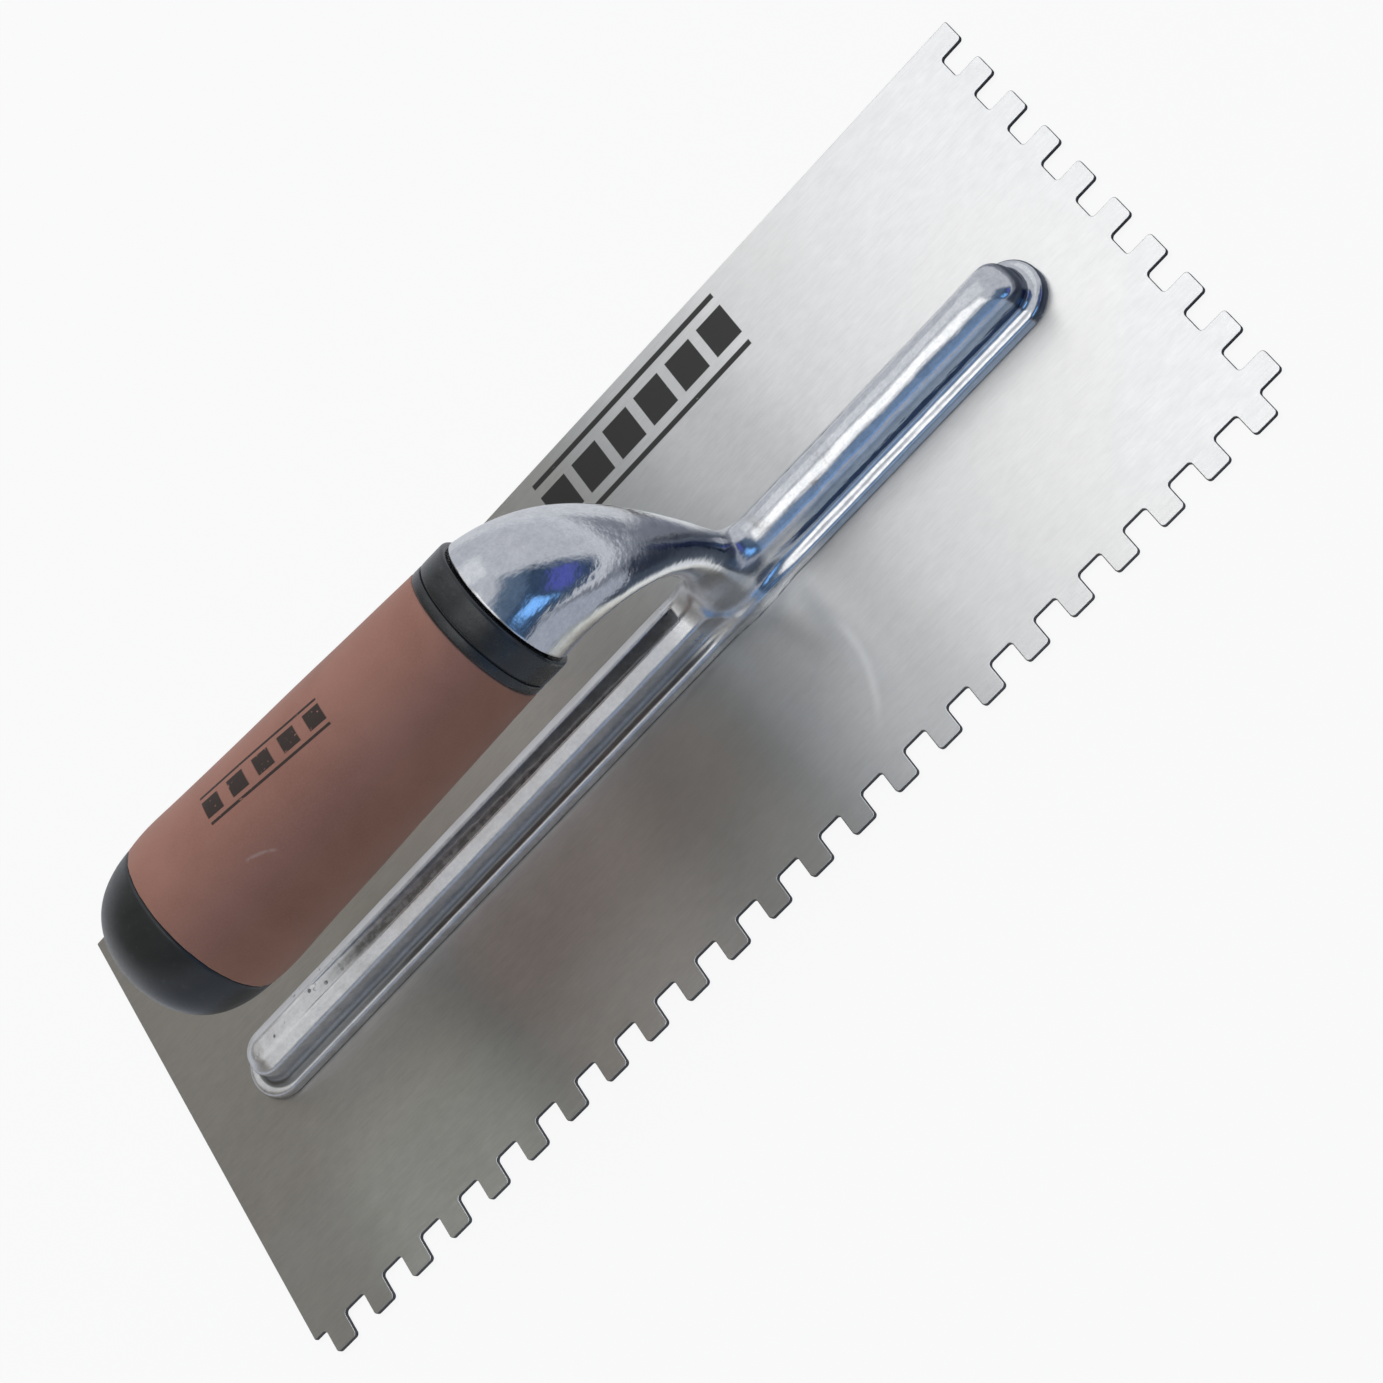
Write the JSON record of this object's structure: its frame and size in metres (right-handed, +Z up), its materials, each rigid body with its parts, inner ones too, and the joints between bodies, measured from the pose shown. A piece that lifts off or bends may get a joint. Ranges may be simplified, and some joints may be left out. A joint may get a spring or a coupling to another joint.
{
  "type": "notched trowel",
  "caption": "Rectangular steel blade with square notches along one long edge and one end, on a cast foot bar with a gooseneck and a soft-grip handle, for combing adhesive.",
  "frame": {"origin": "centre of the blade's underside, the face that meets the work", "axes": "+X along the blade to the notched short end, +Y to the plain long edge, +Z up to the handle"},
  "size_m": [0.2794, 0.12, 0.0768],
  "materials": {
    "blade_steel": "satin rolled spring steel with a fine lengthwise grain",
    "rivet_aluminium": "ground flush",
    "cast_aluminium": "die cast and tumble polished, slightly pitted",
    "fastener_steel": "zinc plated",
    "core_plastic": "moulded",
    "collar_rubber": "moulded, soft sheen",
    "grip_rubber": "moulded, matt",
    "cap_rubber": "moulded, soft sheen"
  },
  "bodies": {
    "root": {"blade": "blade_steel", "blade_rivets": "rivet_aluminium", "mounting": "cast_aluminium", "tang_stud": "fastener_steel", "tang_washer": "fastener_steel", "spring_washer": "fastener_steel", "tang_nut": "fastener_steel", "handle_core": "core_plastic", "front_collar": "collar_rubber", "grip_sleeve": "grip_rubber", "end_cap": "cap_rubber"}
  },
  "joints": []
}
